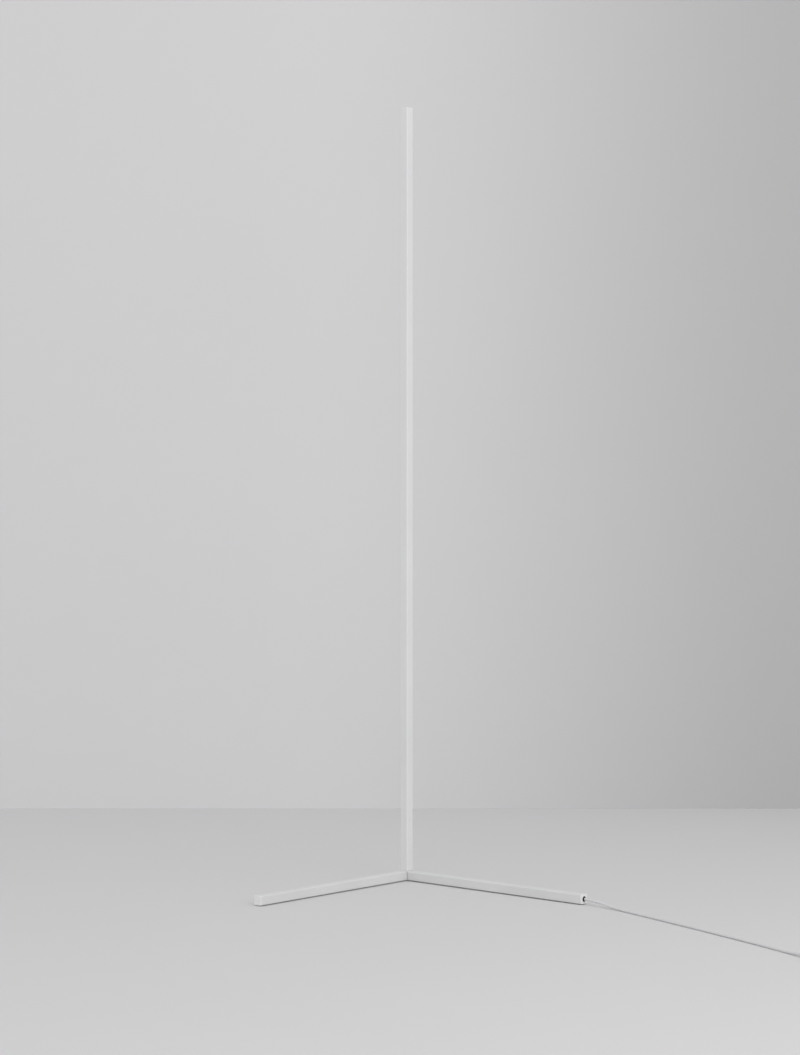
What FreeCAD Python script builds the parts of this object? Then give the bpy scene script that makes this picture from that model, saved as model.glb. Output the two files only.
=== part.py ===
import FreeCAD, Part
import math
import os

Vector = FreeCAD.Vector

# Corner floor lamp: three square bars, a pole and two legs, that meet at right angles.
# Millimetres, +Z up. The origin is on the floor, on the pole's axis. The right leg runs along +X
# and the left leg along -Y, so the walls of the room's corner are on the -X and +Y sides.
# The light leaves the pole at its rear edge, which points into that corner.

# Bars
lamp_height = 1680.0        # floor to the top of the pole's cap
bar_side = 20.0             # outside of all three bars
edge_radius = 2.5           # long edges of the bars
right_leg_length = 475.0    # pole to the outside of the end cap
left_leg_length = 448.0
leg_wall = 1.5
butt_gap = 1.0              # shadow gap between the pole and each leg's tube
inner_radius = 0.6          # long edges inside the bars
cap_plate = 2.0             # flange of every end cap
cap_spigot = 14.0           # what a cap pushes into its bar
cap_wall = 1.3
push_fit = 0.1              # play of what is pushed into a bar, all round
foot_height = 1.5
foot_radius = 5.5
foot_inset = 22.0           # outer foot, from the end of its leg
inner_foot_place = 52.0     # inner foot, from the pole

# Pole section, on its own diagonal: flat rear face with the light channel in it
pole_wall = 1.4
rear_flat = 11.6
rear_edge_radius = 0.6
channel_width = 8.8
channel_depth = 6.0
channel_wall = 1.2
groove_depth = 0.45         # snap grooves in the channel's sides
groove_height = 1.1
groove_place = 2.2          # below the rear face

# Light
diffuser_skin = 1.4
diffuser_leg = 0.9
diffuser_leg_end = 3.9
diffuser_play = 0.1
barb_height = 0.8
barb_play = 0.15
board_width = 7.6
board_thickness = 1.0
board_bottom = 58.0
board_top_gap = 14.0        # board's end to the top cap
diode_size = (0.7, 3.5, 2.8)
diode_pitch = 16.5

# Corner joint
core_height = 24.5
bolt_inset = 6.4            # bolt axes, from the inner faces of the pole
bolt_spread = 8.0           # height between the two crossing bolts
bolt_radius = 2.0
bolt_head_radius = 3.7
bolt_length = 38.0
bore_play = 0.2
spigot_length = 36.0
lead_window = (5.4, 2.8)    # width and height of the passage for the light's leads
lead_window_side = 4.1      # its middle, to the side of the leg's middle
lead_notch = 2.1            # depth of the notch that leads it up the core

# Screws under the bars
small_radius = 1.5
small_head_radius = 2.6
small_length = 7.0
small_side = 4.0            # to the side of the leg's middle
spigot_screw_places = (10.0, 27.0)
plug_screw_side = 6.0       # from both middle planes of the pole
hex_share = 0.62            # width across flats of a socket, of the shank's diameter
hex_depth = 1.2

# Weights, driver and leads in the legs
ballast_width = 16.0
ballast_gap = 4.0           # behind the spigot
ballast_end_gap = 14.0      # to the driver or the end cap
ballast_edge = 1.0
right_ballast_height = 8.5
left_ballast_height = 16.0
driver_size = (140.0, 15.0, 13.0)
driver_edge = 1.2
driver_rib_pitch = 10.0
driver_rib_depth = 0.6
lead_radius = 0.6
lead_height = 12.6
lead_spread = 2.2
lead_bend = 2.4
mains_lead_radius = 0.95
mains_lead_spread = 2.2
mains_lead_length = 30.0

# Cord, clamp and cable hole
cord_diameter = 5.6
cable_hole_radius = 5.8
clamp_length = 12.0
clamp_gap = 0.5
clamp_screw_side = 5.7
clamp_screw_radius = 1.25
clamp_screw_head = 2.3
clamp_bar_height = 5.6
clamp_inset = 22.0          # clamp's outer face, from the end of the leg
sheath_stub = 9.0           # sheath left behind the clamp

# Foot switch on the cord
switch_start = (1171.0, -211.4)
cord_heading = -20.8        # degrees, of the switch and of the cord there
switch_length = 84.0
switch_width = 34.0
switch_corner = 14.0
switch_split = 6.0          # height of the joint between base and cover, and of the cord
switch_top = 17.0
switch_wall = 1.8
switch_dome = 4.0
switch_inner_edge = 1.5
switch_entry = 8.0          # how far the cord goes in
sleeve_length = 22.0        # bend relief on both ends of the switch
sleeve_thick = 4.8          # its radius at the switch, and at its tip
sleeve_thin = 3.6
sleeve_play = 0.15
grip_size = (8.0, 14.0, 7.0)
button_radius = 11.0
button_play = 0.3
button_travel = 2.5
button_flange = 1.3
button_flange_height = 1.1
button_stem_radius = 2.8
button_dome = 1.0
unit_size = (24.0, 14.0, 9.0)
unit_bore_floor = 1.2
post_radius = 3.0
post_places = ((19.0, 10.0), (65.0, -10.0))
tapping_radius = 1.1
tapping_head = 2.2

# Coil and plug
coil_mid_radius = 33.6
coil_turns = 3              # turns in each of the two layers
coil_gap = 0.45             # between neighbouring turns
link_length = 76.0          # switch to the first turn
tail_length = 55.0          # last turn to the plug
plug_thickness = 13.7
plug_width = 35.3
plug_flat = 26.0            # flat part of its upper and lower faces, and its waist
plug_neck = 15.0
plug_neck_thickness = 10.0
plug_length = 36.0
plug_rise = 0.2             # lowest of the plug above the floor
boot_length = 22.0
boot_radius = 4.6
boot_tip_radius = 3.5
pin_radius = 2.0
pin_length = 19.0
pin_spacing = 18.6
pin_bare = 9.0
pin_neck = 1.85

# What follows from the sizes
half_bar = bar_side / 2
cord_radius = cord_diameter / 2
bar_middle = foot_height + half_bar
cap_bottom = lamp_height - cap_plate
plug_top = foot_height + cap_plate
cavity_floor = foot_height + leg_wall
corner_reach = half_bar * math.sqrt(2)
rear_face = corner_reach - rear_flat / 2
channel_floor = rear_face - channel_depth
board_front = channel_floor + board_thickness
board_top = cap_bottom - board_top_gap
bolt_side = half_bar - bolt_inset
pitch = cord_diameter + coil_gap
right_end = half_bar + right_leg_length
ballast_start = spigot_length + ballast_gap
clamp_end = right_leg_length - clamp_inset
clamp_start = clamp_end - clamp_length
sheath_start = clamp_start - sheath_stub
driver_end = sheath_start - mains_lead_length
driver_start = driver_end - driver_size[0]
left_cap_start = left_leg_length - cap_plate - cap_spigot

# inner is the side of the leg that faces the other leg
legs = {
    "right": {"length": right_leg_length, "turn": 0.0, "inner": -1, "bolt_lift": -bolt_spread / 2,
              "ballast_end": driver_start - ballast_end_gap, "ballast_height": right_ballast_height},
    "left": {"length": left_leg_length, "turn": -90.0, "inner": 1, "bolt_lift": bolt_spread / 2,
             "ballast_end": left_cap_start - ballast_end_gap, "ballast_height": left_ballast_height},
}


def unit(vector):
    return vector * (1.0 / vector.Length)


def outline(corners):
    # closed wire in the XY plane through corners (x, y, radius), each rounded by a tangent arc
    arcs = []
    for i, (x, y, radius) in enumerate(corners):
        here = Vector(x, y, 0)
        back = unit(Vector(*corners[i - 1][:2], 0) - here)
        ahead = unit(Vector(*corners[(i + 1) % len(corners)][:2], 0) - here)
        half_angle = back.getAngle(ahead) / 2
        reach = radius / math.tan(half_angle)
        middle = here + unit(back + ahead) * (radius / math.sin(half_angle) - radius)
        arcs.append((here + back * reach, middle, here + ahead * reach, radius))
    edges = []
    for i, (start, middle, end, radius) in enumerate(arcs):
        before = arcs[i - 1][2]
        if (start - before).Length > 1e-6:
            edges.append(Part.LineSegment(before, start).toShape())
        if radius > 0:
            edges.append(Part.Arc(start, middle, end).toShape())
    return Part.Wire(Part.__sortEdges__(edges))


def prism(corners, low, high, holes=()):
    # an outline with holes, from one height to another
    solid = Part.Face(outline(corners)).extrude(Vector(0, 0, high - low))
    for hole in holes:
        solid = solid.cut(Part.Face(outline(hole)).extrude(Vector(0, 0, high - low)))
    solid.translate(Vector(0, 0, low))
    return solid


def rectangle(width, height, radius, x=0.0, y=0.0):
    a, b = width / 2, height / 2
    return [(x - a, y - b, radius), (x + a, y - b, radius), (x + a, y + b, radius), (x - a, y + b, radius)]


def box(low, high):
    return Part.makeBox(high[0] - low[0], high[1] - low[1], high[2] - low[2], Vector(*low))


def save(name, *solids):
    shape = solids[0] if len(solids) == 1 else Part.makeCompound(list(solids))
    shape.exportStep("parts/" + name + ".step")


def in_pole(shape):
    # from the pole's diagonal frame, x towards its rear edge, to the lamp's frame
    shape.rotate(Vector(0, 0, 0), Vector(0, 0, 1), 135)
    return shape


def diagonal(depth, side, height):
    # a point of the pole's diagonal frame in the lamp's frame
    return Vector((-depth - side) / math.sqrt(2), (depth - side) / math.sqrt(2), height)


def along_bar(shape):
    # a section drawn as (side, height) and extruded, laid along X
    shape.rotate(Vector(0, 0, 0), Vector(1, 1, 1), 120)
    return shape


def in_leg(shape, leg):
    # from a leg's own frame, x from the pole's face, y to the side, z from the floor
    shape.translate(Vector(half_bar, 0, 0))
    shape.rotate(Vector(0, 0, 0), Vector(0, 0, 1), leg["turn"])
    return shape


def turned(vector, degrees):
    a = math.radians(degrees)
    return Vector(vector.x * math.cos(a) - vector.y * math.sin(a),
                  vector.x * math.sin(a) + vector.y * math.cos(a), vector.z)


def on_cord_line(shape):
    # from the switch's frame, x along the cord, to the lamp's frame
    shape.rotate(Vector(0, 0, 0), Vector(0, 0, 1), cord_heading)
    shape.translate(Vector(*switch_start, 0))
    return shape


def cord_point(x, y, z):
    return turned(Vector(x, y, z), cord_heading) + Vector(*switch_start, 0)


def screw(top, direction, length, shank, head):
    # countersunk screw with a hexagon socket, from the top of its head
    body = Part.makeCylinder(shank, length, top, direction)
    body = body.fuse(Part.makeCone(head, shank, head - shank, top, direction))
    points = []
    for k in range(7):
        points.append(turned(Vector(shank * 2 * hex_share / math.sqrt(3), 0, 0), 60 * k))
    socket = Part.Face(Part.makePolygon(points)).extrude(Vector(0, 0, hex_depth))
    socket.Placement = FreeCAD.Placement(top, FreeCAD.Rotation(Vector(0, 0, 1), direction))
    return body.cut(socket).removeSplitter()


def screw_hole(top, direction, length, shank, head):
    return Part.makeCylinder(shank, length, top, direction).fuse(
        Part.makeCone(head, shank, head - shank, top, direction))


def rounded_path(points, bend=None):
    # straight runs joined by tangent arcs, each as large as its two runs allow, or bend at most
    edges, radii = [], []
    last = points[0]
    for before, here, after in zip(points, points[1:], points[2:]):
        into, out = here - before, after - here
        half_turn = into.getAngle(out) / 2
        radius = 0.45 * min(into.Length, out.Length) / math.tan(half_turn)
        if bend is not None:
            radius = min(radius, bend)
        reach = radius * math.tan(half_turn)
        start, end = here - unit(into) * reach, here + unit(out) * reach
        middle = here + unit(unit(out) - unit(into)) * (radius / math.cos(half_turn) - radius)
        edges.append(Part.LineSegment(last, start).toShape())
        edges.append(Part.Arc(start, middle, end).toShape())
        radii.append(radius)
        last = end
    edges.append(Part.LineSegment(last, points[-1]).toShape())
    return Part.Wire(edges), radii


def tube(path, radius):
    start = path.Edges[0].valueAt(path.Edges[0].FirstParameter)
    heading = path.Edges[0].tangentAt(path.Edges[0].FirstParameter)
    ring = Part.Wire(Part.makeCircle(radius, start, heading))
    return path.makePipeShell([ring], True, False)


def cord_tube(name, points):
    path, radii = rounded_path(points)
    solid = tube(path, cord_radius)
    share = solid.Volume / (math.pi * cord_radius ** 2 * path.Length)
    print(name, "length %.1f" % path.Length, "volume over section times length %.4f" % share,
          "radii", " ".join("%.0f" % radius for radius in radii))
    return solid


def channel_line(side):
    # one side of the light channel with its snap groove, from the rear face to the floor
    wall, top = side * channel_width / 2, rear_face - groove_place
    return [
        (rear_face, wall, 0),
        (top, wall, 0),
        (top, wall + side * groove_depth, 0),
        (top - groove_height, wall + side * groove_depth, 0),
        (top - groove_height, wall, 0),
        (channel_floor, wall, 0),
    ]


def pole_outline(channel=True):
    # the square bar with its rear edge cut off flat
    left = [
        (-corner_reach, 0, edge_radius),
        (0, -corner_reach, edge_radius),
        (rear_face, -rear_flat / 2, rear_edge_radius),
    ]
    right = [
        (rear_face, rear_flat / 2, rear_edge_radius),
        (0, corner_reach, edge_radius),
    ]
    light = channel_line(-1) + channel_line(1)[::-1] if channel else []
    return left + light + right


def chamber_outline(gap=0.0):
    # the closed chamber in front of the light channel, or what fits in it with a gap all round
    reach = (half_bar - pole_wall - gap) * math.sqrt(2)
    side = channel_width / 2 + channel_wall + gap
    floor = channel_floor - channel_wall - gap
    radius = inner_radius
    return [
        (-reach, 0, radius),
        (0, -reach, radius),
        (reach - side, -side, radius / 2),
        (floor, -side, 0),
        (floor, side, 0),
        (reach - side, side, radius / 2),
        (0, reach, radius),
    ]


def bolt_cut(leg, play):
    # the bolt's way from the pole's rear wall into the leg, in the leg's frame
    top = Vector(-bar_side, leg["inner"] * bolt_side, bar_middle + leg["bolt_lift"])
    return screw_hole(top, Vector(1, 0, 0), bolt_length, bolt_radius + play, bolt_head_radius + play)


def lead_cut(low, high):
    width, height = lead_window
    y, z = lead_window_side, lead_height
    return box((low, y - width / 2, z - height / 2), (high, y + width / 2, z + height / 2))


def make_pole():
    profile = in_pole(prism(pole_outline(), plug_top, cap_bottom, [chamber_outline()]))
    core = in_pole(prism(chamber_outline(push_fit), plug_top, plug_top + core_height))
    for leg in legs.values():
        hole = in_leg(bolt_cut(leg, bore_play), leg)
        profile = profile.cut(hole)
        core = core.cut(hole)
    width, height = lead_window
    wall_inside = half_bar - pole_wall
    window_low = lead_height - height / 2
    profile = profile.cut(in_leg(lead_cut(-pole_wall - 1, 1), legs["right"]))
    notch = box((wall_inside - lead_notch, lead_window_side - width / 2, window_low),
                (half_bar, lead_window_side + width / 2, plug_top + core_height + 1))
    core = core.cut(notch)
    # hole for the leads through the channel's floor, below the board
    lead_hole = box((channel_floor - channel_wall - 1, -width / 2, board_bottom - 2 * height),
                    (channel_floor + 1, width / 2, board_bottom - height))
    profile = profile.cut(in_pole(lead_hole))

    plate = in_pole(prism(pole_outline(False), foot_height, plug_top))
    plug_screw = (Vector(plug_screw_side, plug_screw_side, foot_height), Vector(0, 0, 1), small_length,
                  small_radius, small_head_radius)
    plate = plate.cut(screw_hole(*plug_screw))
    core = core.cut(screw_hole(*plug_screw))

    cap = in_pole(prism(pole_outline(False), cap_bottom, lamp_height))
    cap = soften_top(cap, lamp_height, edge_radius / 4)
    spigot = prism(chamber_outline(push_fit), cap_bottom - cap_spigot, cap_bottom,
                   [chamber_outline(push_fit + cap_wall)])
    cap = cap.fuse(in_pole(spigot)).removeSplitter()

    save("pole_profile", profile)
    save("corner_core", core)
    save("pole_bottom_plug", plate)
    save("pole_top_cap", cap)
    for name, leg in legs.items():
        top = Vector(-bar_side, leg["inner"] * bolt_side, bar_middle + leg["bolt_lift"])
        bolt = screw(top, Vector(1, 0, 0), bolt_length, bolt_radius, bolt_head_radius)
        save(name + "_leg_bolt", in_leg(bolt, leg))
    return screw(*plug_screw)


def soften_top(solid, height, size):
    # chamfer round the outer edge of a flat top
    top = max(solid.Faces, key=lambda face: face.CenterOfMass.z)
    edges = [edge for edge in top.OuterWire.Edges if abs(edge.CenterOfMass.z - height) < 1e-6]
    return solid.makeChamfer(size, edges)


def make_light():
    half = channel_width / 2 - diffuser_play
    barb_out = channel_width / 2 + groove_depth - barb_play
    barb_top = rear_face - groove_place - barb_play
    leg_end = rear_face - diffuser_leg_end
    side = [
        (rear_face, half, 0.3),
        (barb_top, half, 0),
        (barb_top, barb_out, 0),
        (barb_top - barb_height, half, 0),
        (leg_end, half, 0),
        (leg_end, half - diffuser_leg, 0),
        (rear_face - diffuser_skin, half - diffuser_leg, 0.3),
    ]
    mirrored = [(u, -v, radius) for u, v, radius in side[::-1]]
    save("pole_diffuser", in_pole(prism(side + mirrored, plug_top, cap_bottom)))

    board = box((channel_floor, -board_width / 2, board_bottom), (board_front, board_width / 2, board_top))
    save("led_board", in_pole(board))

    thickness, width, height = diode_size
    count = int((board_top - board_bottom) / diode_pitch)
    first = (board_bottom + board_top - (count - 1) * diode_pitch) / 2
    diodes = []
    for k in range(count):
        z = first + k * diode_pitch
        diodes.append(in_pole(box((board_front, -width / 2, z - height / 2),
                                  (board_front + thickness, width / 2, z + height / 2))))
    save("led_chips", *diodes)


def make_leg(name, leg):
    length = leg["length"]
    cavity = bar_side - 2 * leg_wall
    bar_section = rectangle(bar_side, bar_side, edge_radius, 0, bar_middle)
    profile = along_bar(prism(bar_section, butt_gap, length - cap_plate,
                              [rectangle(cavity, cavity, inner_radius, 0, bar_middle)]))
    inside = cavity - 2 * push_fit
    fitted = rectangle(inside, inside, inner_radius, 0, bar_middle)
    spigot = along_bar(prism(fitted, 0, spigot_length)).cut(bolt_cut(leg, 0))

    ballast_end, ballast_height = leg["ballast_end"], leg["ballast_height"]
    ballast_length = ballast_end - ballast_start
    ballast_middle = cavity_floor + ballast_height / 2
    bar = rectangle(ballast_width, ballast_height, 0, 0, ballast_middle)
    ballast = along_bar(prism(bar, ballast_start, ballast_end))
    ballast = ballast.makeChamfer(ballast_edge, [e for e in ballast.Edges if e.Length > ballast_length / 2])

    places = [(x, -leg["inner"] * small_side) for x in spigot_screw_places]
    places.append((ballast_start + ballast_length / 2, 0))
    if name == "right":
        places.append(((clamp_start + clamp_end) / 2, 0))
        spigot = spigot.cut(lead_cut(-1, spigot_length + 1))
    screws = []
    for x, y in places:
        one = (Vector(x, y, foot_height), Vector(0, 0, 1), small_length, small_radius, small_head_radius)
        hole = screw_hole(*one)
        profile, spigot, ballast = profile.cut(hole), spigot.cut(hole), ballast.cut(hole)
        screws.append(in_leg(screw(*one), leg))

    plate = along_bar(prism(bar_section, length - cap_plate, length))
    far = max(plate.Faces, key=lambda face: face.CenterOfMass.x)
    plate = plate.makeChamfer(edge_radius / 4, far.OuterWire.Edges)
    ring = rectangle(inside - 2 * cap_wall, inside - 2 * cap_wall, inner_radius, 0, bar_middle)
    cap = plate.fuse(along_bar(prism(fitted, length - cap_plate - cap_spigot, length - cap_plate, [ring])))
    cap = cap.removeSplitter()
    if name == "right":
        hole = Part.makeCylinder(cable_hole_radius, cap_plate + 2, Vector(length - cap_plate - 1, 0, bar_middle),
                                 Vector(1, 0, 0))
        cap = cap.cut(hole)

    save(name + "_leg_profile", in_leg(profile, leg))
    save(name + "_leg_spigot", in_leg(spigot, leg))
    save(name + "_leg_ballast", in_leg(ballast, leg))
    save(name + "_leg_end_cap", in_leg(cap, leg))
    for place, x in (("inner", inner_foot_place), ("outer", length - foot_inset)):
        foot = Part.makeCylinder(foot_radius, foot_height, Vector(x, 0, 0))
        save(name + "_" + place + "_foot", in_leg(foot, leg))
    return screws


def make_driver():
    leg = legs["right"]
    _, width, height = driver_size
    end = driver_end
    section = rectangle(width, height, driver_edge, 0, cavity_floor + height / 2)
    case = along_bar(prism(section, driver_start, end))
    # shallow grooves across the lid
    x = driver_start + driver_rib_pitch * 2
    while x < end - driver_rib_pitch * 2:
        case = case.cut(box((x, -width, cavity_floor + height - driver_rib_depth),
                            (x + driver_rib_pitch / 4, width, cavity_floor + height + 1)))
        x += driver_rib_pitch
    save("led_driver", in_leg(case, leg))

    leads = []
    for sign in (-1, 1):
        y = lead_window_side + sign * lead_spread / 2
        side = -sign * lead_spread / 2
        notch_x = half_bar - pole_wall - lead_notch / 2
        hole_height = board_bottom - lead_window[1] * 1.5
        points = [
            Vector(half_bar + driver_start, y, lead_height),
            Vector(notch_x, y, lead_height),
            Vector(notch_x, y, plug_top + core_height + 4),
            diagonal(channel_floor - channel_wall - 4, side, hole_height),
            diagonal(channel_floor + lead_radius, side, hole_height),
            diagonal(channel_floor + lead_radius, side, board_bottom),
        ]
        path, _ = rounded_path(points, lead_bend)
        leads.append(tube(path, lead_radius))
    save("light_leads", *leads)

    axis = Vector(1, 0, 0)
    mains = []
    for sign in (-1, 1):
        start = Vector(end, sign * mains_lead_spread / 2, bar_middle)
        mains.append(in_leg(Part.makeCylinder(mains_lead_radius, sheath_start - end, start, axis), leg))
    save("mains_leads", *mains)
    sheath = Part.makeCylinder(cord_radius, clamp_end - sheath_start, Vector(sheath_start, 0, bar_middle), axis)
    save("cord_inner_end", in_leg(sheath, leg))

    groove = Part.makeCylinder(cord_radius, clamp_length + 2, Vector(clamp_start - 1, 0, bar_middle), axis)
    half_width = bar_side / 2 - leg_wall - inner_radius
    base = box((clamp_start, -half_width, cavity_floor), (clamp_end, half_width, bar_middle)).cut(groove)
    bar_low = bar_middle + clamp_gap
    bar_high = bar_low + clamp_bar_height
    bar = box((clamp_start, -half_width, bar_low), (clamp_end, half_width, bar_high)).cut(groove)
    fixing = screw_hole(Vector(clamp_start + clamp_length / 2, 0, foot_height), Vector(0, 0, 1), small_length,
                        small_radius, small_head_radius)
    base = base.cut(fixing)
    screws = []
    for sign in (-1, 1):
        one = (Vector(clamp_start + clamp_length / 2, sign * clamp_screw_side, bar_high), Vector(0, 0, -1),
               clamp_bar_height + clamp_gap + 5, clamp_screw_radius, clamp_screw_head)
        base, bar = base.cut(screw_hole(*one)), bar.cut(screw_hole(*one))
        screws.append(in_leg(screw(*one), leg))
    save("cord_clamp_base", in_leg(base, leg))
    save("cord_clamp_bar", in_leg(bar, leg))
    save("cord_clamp_screws", *screws)


def make_switch():
    length, width = switch_length, switch_width
    middle = length / 2
    wall = switch_wall
    shell = rectangle(length, width, switch_corner, middle, 0)
    hollow = rectangle(length - 2 * wall, width - 2 * wall, switch_corner - wall, middle, 0)
    axis, up = Vector(1, 0, 0), Vector(0, 0, 1)
    play = button_play
    entries = Part.makeCylinder(cord_radius + 0.15, length + 2, Vector(-1, 0, switch_split), axis)
    floor = wall

    base = prism(shell, 0, switch_split)
    base = soften_bottom(base, 1.0)
    base = base.cut(prism(hollow, floor, switch_split + 1))
    cover = prism(shell, switch_split, switch_top)
    top = max(cover.Faces, key=lambda face: face.CenterOfMass.z)
    cover = cover.makeFillet(switch_dome, top.OuterWire.Edges)
    inner = prism(hollow, switch_split - 1, switch_top - wall)
    top = max(inner.Faces, key=lambda face: face.CenterOfMass.z)
    inner = inner.makeChamfer(switch_inner_edge, top.OuterWire.Edges)
    cover = cover.cut(inner)
    cover = cover.cut(Part.makeCylinder(button_radius + play, switch_top, Vector(middle, 0, switch_split), up))
    screws = []
    for x, y in post_places:
        base = base.fuse(Part.makeCylinder(post_radius, switch_split - floor, Vector(x, y, floor)))
        cover = cover.fuse(Part.makeCylinder(post_radius, switch_top - wall - switch_split,
                                             Vector(x, y, switch_split)))
        one = (Vector(x, y, 0), up, switch_top - wall - 3, tapping_radius, tapping_head)
        base, cover = base.cut(screw_hole(*one)), cover.cut(screw_hole(*one))
        screws.append(on_cord_line(screw(*one)))
    base, cover = base.cut(entries).removeSplitter(), cover.cut(entries).removeSplitter()

    unit_length, unit_width, unit_height = unit_size
    unit_top = floor + unit_height
    unit_body = box((middle - unit_length / 2, -unit_width / 2, floor),
                    (middle + unit_length / 2, unit_width / 2, unit_top))
    unit_body = unit_body.makeChamfer(0.6, [e for e in unit_body.Edges if e.CenterOfMass.z > unit_top - 1e-6])
    bore = Part.makeCylinder(button_stem_radius + play, unit_height,
                             Vector(middle, 0, floor + unit_bore_floor), up)
    unit_body = unit_body.cut(bore)

    flange_top = switch_top - wall - play
    flange_low = flange_top - button_flange_height
    crown = switch_top + button_travel
    stem_end = floor + unit_bore_floor + button_travel + play
    head = Part.makeCylinder(button_radius, crown - flange_top, Vector(middle, 0, flange_top), up)
    rim = max(head.Faces, key=lambda face: face.CenterOfMass.z)
    head = head.makeFillet(button_dome, rim.OuterWire.Edges)
    button = head.fuse(Part.makeCylinder(button_radius + button_flange, button_flange_height,
                                         Vector(middle, 0, flange_low), up))
    button = button.fuse(Part.makeCylinder(button_stem_radius, flange_low - stem_end,
                                           Vector(middle, 0, stem_end), up)).removeSplitter()

    grips, leads = [], []
    grip_length, grip_width, grip_height = grip_size
    for side in (-1, 1):
        outer = middle + side * (middle - switch_entry)
        inner_end = outer - side * grip_length
        low, high = min(outer, inner_end), max(outer, inner_end)
        grips.append(on_cord_line(box((low, -grip_width / 2, floor), (high, grip_width / 2, floor + grip_height))))
        unit_end = middle + side * unit_length / 2
        start = min(inner_end, unit_end)
        for y in (-mains_lead_spread / 2, mains_lead_spread / 2):
            leads.append(on_cord_line(Part.makeCylinder(mains_lead_radius, abs(inner_end - unit_end),
                                                        Vector(start, y, switch_split), axis)))
    sleeves = []
    for side in (-1, 1):
        root = Vector(middle + side * middle, 0, switch_split)
        sleeve = Part.makeCone(sleeve_thick, sleeve_thin, sleeve_length, root, axis * side)
        bore = Part.makeCylinder(cord_radius + sleeve_play, sleeve_length, root, axis * side)
        sleeves.append(on_cord_line(sleeve.cut(bore)))
    save("switch_sleeves", *sleeves)
    save("switch_base", on_cord_line(base))
    save("switch_cover", on_cord_line(cover))
    save("switch_button", on_cord_line(button))
    save("switch_unit", on_cord_line(unit_body))
    save("switch_cord_grips", *grips)
    save("switch_leads", *leads)
    save("switch_screws", *screws)


def soften_bottom(solid, size):
    low = min(solid.Faces, key=lambda face: face.CenterOfMass.z)
    return solid.makeChamfer(size, low.OuterWire.Edges)


# Route of the cord from its clamp to the switch, as it lies in the photograph
cord_route = [
    (right_end - clamp_inset, 0.0, bar_middle),
    (right_end + 6.0, 0.0, bar_middle),
    (522.0, -1.6, 9.8),
    (556.0, -7.4, 4.9),
    (592.0, -16.0, 2.8),
    (648.0, -32.4, 2.8),
    (724.0, -56.0, 2.8),
    (806.0, -82.3, 2.8),
    (888.0, -109.1, 2.8),
    (968.0, -135.8, 2.8),
    (1040.0, -161.3, 2.8),
    (1096.0, -182.6, 2.8),
    (1122.4, -192.9, 5.3),
]


def make_cords():
    entry = cord_point(switch_entry, 0, switch_split)
    before = cord_point(-sleeve_length, 0, switch_split)
    run = [Vector(*point) for point in cord_route] + [before, entry]
    save("cord_run", cord_tube("cord_run", run))

    start = switch_length - switch_entry
    coil_start = switch_length + link_length
    straight = cord_diameter
    link = [
        cord_point(start, 0, switch_split),
        cord_point(switch_length + sleeve_length, 0, switch_split),
        cord_point(coil_start - straight - 27.0, 0, switch_split - 0.8),
        cord_point(coil_start - straight - 11.0, 0, cord_radius),
        cord_point(coil_start - straight, 0, cord_radius),
    ]
    save("cord_link", cord_tube("cord_link", link))

    # crossings of the turns with the line through the coil's middle, across the cord's heading
    first = coil_mid_radius + coil_turns * pitch / 2
    layer = 2 * coil_turns
    radii = [first - k * pitch / 2 for k in range(layer + 1)]
    radii.append(radii[-1] - pitch / 2)
    radii += [radii[layer - 1] + k * pitch / 2 for k in range(layer)]
    heights = [cord_radius] * (layer + 1) + [cord_radius + pitch] * (len(radii) - layer - 1)
    across = turned(Vector(0, 1, 0), cord_heading)
    ahead = turned(Vector(1, 0, 0), cord_heading)
    centre = cord_point(coil_start, first, 0)
    crossings = []
    for k, (radius, height) in enumerate(zip(radii, heights)):
        side = 1 if k % 2 else -1
        crossings.append(centre + across * (side * radius) + Vector(0, 0, height))
    edges = [Part.LineSegment(crossings[0] - ahead * straight, crossings[0]).toShape()]
    for k, (here, there) in enumerate(zip(crossings, crossings[1:])):
        middle = (here + there) * 0.5
        outward = ahead * (-1 if k % 2 else 1)
        edges.append(Part.Arc(here, middle + outward * ((there - here).Length / 2), there).toShape())
    leave = ahead * (1 if len(crossings) % 2 else -1)
    last = crossings[-1]
    edges.append(Part.LineSegment(last, last + leave * straight).toShape())
    path = Part.Wire(edges)
    coil = tube(path, cord_radius)
    share = coil.Volume / (math.pi * cord_radius ** 2 * path.Length)
    print("cord_coil length %.1f" % path.Length, "volume over section times length %.4f" % share,
          "least gap %.2f" % least_gap(edges))
    save("cord_coil", coil)

    plug_axis = plug_thickness / 2 + plug_rise
    tail = [
        last + leave * straight,
        last + leave * (straight + 13.0),
        last + leave * (tail_length - 15.0),
        last + leave * tail_length,
    ]
    for point in tail[2:]:
        point.z = plug_axis
    save("cord_tail", cord_tube("cord_tail", tail))
    make_plug(tail[-1], leave)


def least_gap(edges):
    # between turns of the coil, on points along its middle line
    points, travelled, step = [], [], 2.5
    length = 0.0
    for edge in edges:
        count = max(2, int(edge.Length / step))
        for k in range(count):
            position = edge.FirstParameter + (edge.LastParameter - edge.FirstParameter) * k / count
            points.append(edge.valueAt(position))
            travelled.append(length + edge.Length * k / count)
        length += edge.Length
    least = 1e9
    for i, here in enumerate(points):
        for j in range(i):
            if travelled[i] - travelled[j] > 6 * cord_diameter:
                least = min(least, (here - points[j]).Length)
    return least - cord_diameter


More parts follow.
